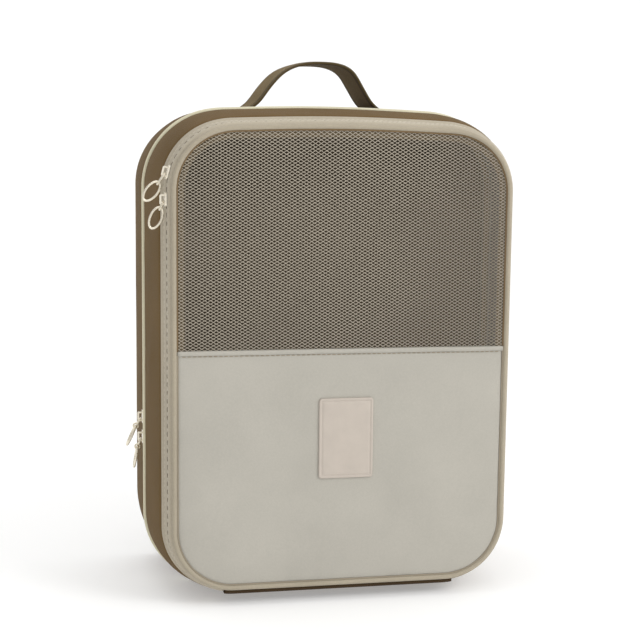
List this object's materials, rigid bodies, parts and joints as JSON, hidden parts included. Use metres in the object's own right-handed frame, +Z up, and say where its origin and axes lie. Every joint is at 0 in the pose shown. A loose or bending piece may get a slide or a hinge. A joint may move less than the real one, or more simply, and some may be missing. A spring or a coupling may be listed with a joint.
{
  "type": "shoe bag",
  "caption": "Upright travel shoe bag with two zipped compartments, a mesh window over a padded front panel, pull rings and a webbing top handle.",
  "frame": {"origin": "on the floor, under the middle of the bag, on the underside of the rear zip's front tape", "axes": "+Z up, the mesh window faces -Y, +X to the right as seen from the front"},
  "size_m": [0.2785, 0.1515, 0.3819],
  "materials": {
    "panel_fabric": "close-woven twill, matt",
    "gusset_fabric": "close-woven twill, matt",
    "netting": "knitted hexagonal mesh",
    "foam": "closed-cell padding",
    "lining": "plain weave, slightly glossy",
    "piping": "fabric-covered cord",
    "binding": "woven edge tape",
    "zip_tape": "woven tape",
    "zip_coil": "moulded coil",
    "patch_leather": "smooth grain, matt",
    "webbing": "ribbed webbing",
    "zip_metal": "pale champagne plating"
  },
  "bodies": {
    "front_box": {"front_gusset": "gusset_fabric", "front_gusset_foam": "foam", "front_gusset_lining": "lining", "front_zip_box_tape": "zip_tape", "front_zip_box_coil": "zip_coil", "box_hinge_flap": "gusset_fabric", "mid_piping": "piping", "rear_zip_front_tape": "zip_tape", "rear_zip_front_coil": "zip_coil", "book_hinge_front_flap": "gusset_fabric", "divider_panel": "lining", "divider_binding": "binding", "front_zip_end_tabs": "zip_tape", "rear_zip_end_tabs": "zip_tape"},
    "front_lid": {"lid_mesh_window": "netting", "lid_fabric_panel": "panel_fabric", "lid_foam": "foam", "lid_lining": "lining", "window_hem": "panel_fabric", "leather_patch": "patch_leather", "lid_piping": "piping", "front_zip_lid_tape": "zip_tape", "front_zip_lid_coil": "zip_coil", "lid_seam_binding": "binding", "lid_hinge_flap": "gusset_fabric"},
    "rear_shell": {"rear_gusset": "gusset_fabric", "rear_gusset_foam": "foam", "rear_gusset_lining": "lining", "rear_panel": "gusset_fabric", "rear_panel_foam": "foam", "rear_panel_lining": "lining", "rear_piping": "piping", "rear_seam_binding": "binding", "rear_zip_rear_tape": "zip_tape", "rear_zip_rear_coil": "zip_coil", "book_hinge_rear_flap": "gusset_fabric", "handle_strap": "webbing", "handle_reinforcement": "lining"},
    "front_upper_slider": {"front_upper_slider": "zip_metal"},
    "front_upper_link": {"front_upper_link": "zip_metal"},
    "front_upper_ring": {"front_upper_ring": "zip_metal"},
    "front_lower_slider": {"front_lower_slider": "zip_metal"},
    "front_lower_link": {"front_lower_link": "zip_metal"},
    "front_lower_ring": {"front_lower_ring": "zip_metal"},
    "rear_upper_slider": {"rear_upper_slider": "zip_metal"},
    "rear_upper_link": {"rear_upper_link": "zip_metal"},
    "rear_upper_ring": {"rear_upper_ring": "zip_metal"},
    "rear_lower_slider": {"rear_lower_slider": "zip_metal"},
    "rear_lower_link": {"rear_lower_link": "zip_metal"},
    "rear_lower_ring": {"rear_lower_ring": "zip_metal"}
  },
  "joints": [
    {"name": "lid_hinge", "type": "hinge", "parent": "front_box", "child": "front_lid", "pos_m": [0, -0.0684, 0.00985], "axis": [1, 0, 0], "range_deg": [0, 90]},
    {"name": "book_hinge", "type": "hinge", "parent": "front_box", "child": "rear_shell", "pos_m": [0.1342, 0.005, 0.17], "axis": [0, 0, -1], "range_deg": [0, 175]},
    {"name": "front_upper_slider_travel", "type": "hinge", "parent": "front_box", "child": "front_upper_slider", "pos_m": [-0.077, -0.066, 0.291], "axis": [0, 1, 0], "range_deg": [0, 68]},
    {"name": "front_upper_link_swing", "type": "hinge", "parent": "front_upper_slider", "child": "front_upper_link", "pos_m": [-0.12402, -0.066, 0.30215], "axis": [0, 1, 0], "range_deg": [0, 60]},
    {"name": "front_upper_ring_swing", "type": "hinge", "parent": "front_upper_link", "child": "front_upper_ring", "pos_m": [-0.12905, -0.066, 0.29469], "axis": [0, 1, 0], "range_deg": [0, 35]},
    {"name": "front_lower_slider_travel", "type": "slide", "parent": "front_box", "child": "front_lower_slider", "axis": [0, 0, -1], "range_m": [0, 0.22]},
    {"name": "front_lower_link_swing", "type": "hinge", "parent": "front_lower_slider", "child": "front_lower_link", "pos_m": [-0.1253, -0.066, 0.2832], "axis": [0, 1, 0], "range_deg": [-5, 28]},
    {"name": "front_lower_ring_swing", "type": "hinge", "parent": "front_lower_link", "child": "front_lower_ring", "pos_m": [-0.12755, -0.066, 0.27764], "axis": [0, 1, 0], "range_deg": [-6, 35]},
    {"name": "rear_upper_slider_travel", "type": "slide", "parent": "front_box", "child": "rear_upper_slider", "axis": [0, 0, 1], "range_m": [0, 0.16]},
    {"name": "rear_upper_link_swing", "type": "hinge", "parent": "rear_upper_slider", "child": "rear_upper_link", "pos_m": [-0.1346, 0.005, 0.1216], "axis": [0, 1, 0], "range_deg": [0, 90]},
    {"name": "rear_upper_ring_swing", "type": "hinge", "parent": "rear_upper_link", "child": "rear_upper_ring", "pos_m": [-0.13819, 0.005, 0.11607], "axis": [0, 1, 0], "range_deg": [0, 80]},
    {"name": "rear_lower_slider_travel", "type": "slide", "parent": "front_box", "child": "rear_lower_slider", "axis": [0, 0, -1], "range_m": [0, 0.043]},
    {"name": "rear_lower_link_swing", "type": "hinge", "parent": "rear_lower_slider", "child": "rear_lower_link", "pos_m": [-0.1346, 0.005, 0.1066], "axis": [0, 1, 0], "range_deg": [-9, 25]},
    {"name": "rear_lower_ring_swing", "type": "hinge", "parent": "rear_lower_link", "child": "rear_lower_ring", "pos_m": [-0.13707, 0.005, 0.10048], "axis": [0, 1, 0], "range_deg": [-5, 80]}
  ]
}
